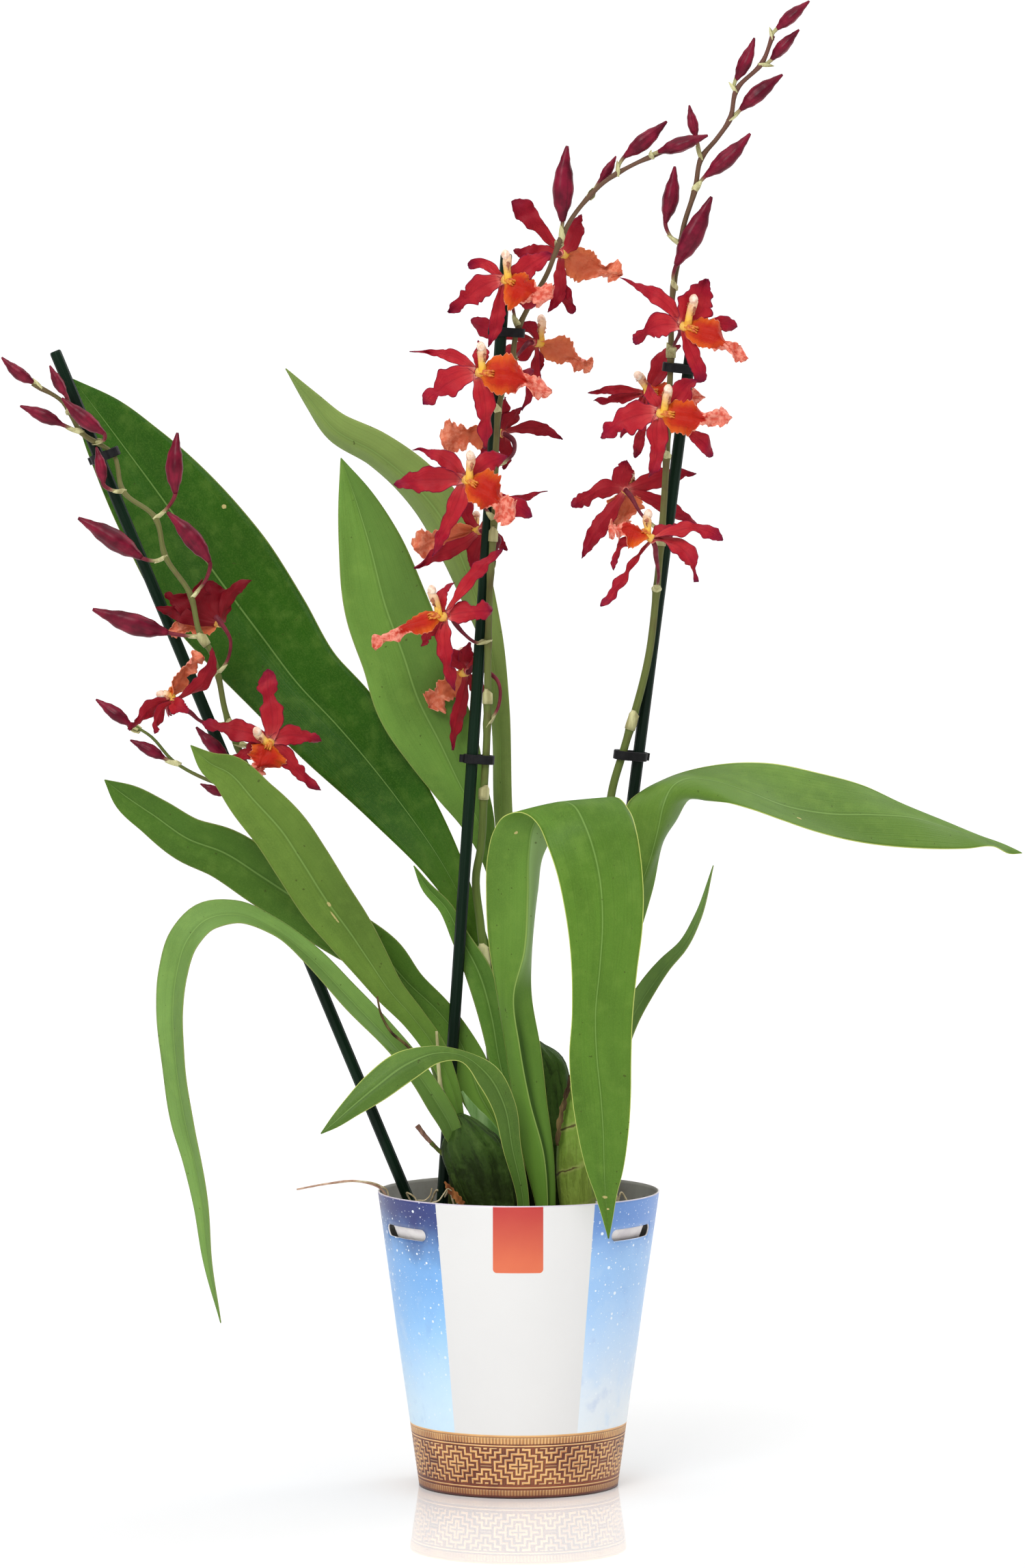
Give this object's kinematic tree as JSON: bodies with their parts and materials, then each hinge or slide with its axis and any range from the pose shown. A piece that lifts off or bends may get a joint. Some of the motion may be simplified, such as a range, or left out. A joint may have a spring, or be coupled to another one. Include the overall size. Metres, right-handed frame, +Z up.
{
  "type": "potted cambria orchid",
  "caption": "Potted cambria orchid in bloom, with crimson and orange flowers on staked stems and strap leaves, in a tapered printed card sleeve.",
  "frame": {"origin": "centre of the sleeve's underside, on the surface the pot stands on", "axes": "+Z up; -Y towards the front of the plant, from which it is seen; +X to the viewer's right"},
  "size_m": [0.5106, 0.1785, 0.7356],
  "materials": {
    "printed_card": "printed, semi-gloss",
    "pot_plastic": "translucent",
    "bark": "rough",
    "stake_green": "satin",
    "clip_black": "satin",
    "bulb_green": "satin",
    "leaf_green": "satin",
    "stem_olive": "satin",
    "tepal_crimson": "satin",
    "lip_orange": "satin"
  },
  "bodies": {
    "root": {"cover_sleeve": "printed_card", "culture_pot": "pot_plastic", "growing_medium": "bark", "stake_a": "stake_green", "stake_b": "stake_green", "stake_c": "stake_green", "clip_a": "clip_black", "clip_b_high": "clip_black", "clip_b_low": "clip_black", "clip_c_high": "clip_black", "clip_c_low": "clip_black", "pseudobulbs": "bulb_green", "leaf_1_upper_left": "leaf_green", "leaf_2_upright": "leaf_green", "leaf_3_back": "leaf_green", "leaf_4_lower_left": "leaf_green", "leaf_5_left_front": "leaf_green", "leaf_6_drooping": "leaf_green", "leaf_7_small_front": "leaf_green", "leaf_8_front": "leaf_green", "leaf_9_right": "leaf_green", "leaf_10_right_narrow": "leaf_green", "leaf_11_sheath": "leaf_green", "flower_stem_a": "stem_olive", "flower_stem_b": "stem_olive", "flower_stem_c": "stem_olive", "bloom_a1_tepals": "tepal_crimson", "bloom_a1_lip": "lip_orange", "bloom_a2_tepals": "tepal_crimson", "bloom_a2_lip": "lip_orange", "bloom_a3_tepals": "tepal_crimson", "bloom_a3_lip": "lip_orange", "bloom_b1_tepals": "tepal_crimson", "bloom_b1_lip": "lip_orange", "bloom_b2_tepals": "tepal_crimson", "bloom_b2_lip": "lip_orange", "bloom_b3_tepals": "tepal_crimson", "bloom_b3_lip": "lip_orange", "bloom_b4_tepals": "tepal_crimson", "bloom_b4_lip": "lip_orange", "bloom_b5_tepals": "tepal_crimson", "bloom_b5_lip": "lip_orange", "bloom_b6_tepals": "tepal_crimson", "bloom_b6_lip": "lip_orange", "bloom_b7_tepals": "tepal_crimson", "bloom_b7_lip": "lip_orange", "bloom_b8_tepals": "tepal_crimson", "bloom_b8_lip": "lip_orange", "bloom_b9_tepals": "tepal_crimson", "bloom_b9_lip": "lip_orange", "bloom_c1_tepals": "tepal_crimson", "bloom_c1_lip": "lip_orange", "bloom_c2_tepals": "tepal_crimson", "bloom_c2_lip": "lip_orange", "bloom_c3_tepals": "tepal_crimson", "bloom_c3_lip": "lip_orange", "bloom_c4_tepals": "tepal_crimson", "bloom_c4_lip": "lip_orange", "bloom_c5_tepals": "tepal_crimson", "bloom_c5_lip": "lip_orange"}
  },
  "joints": []
}
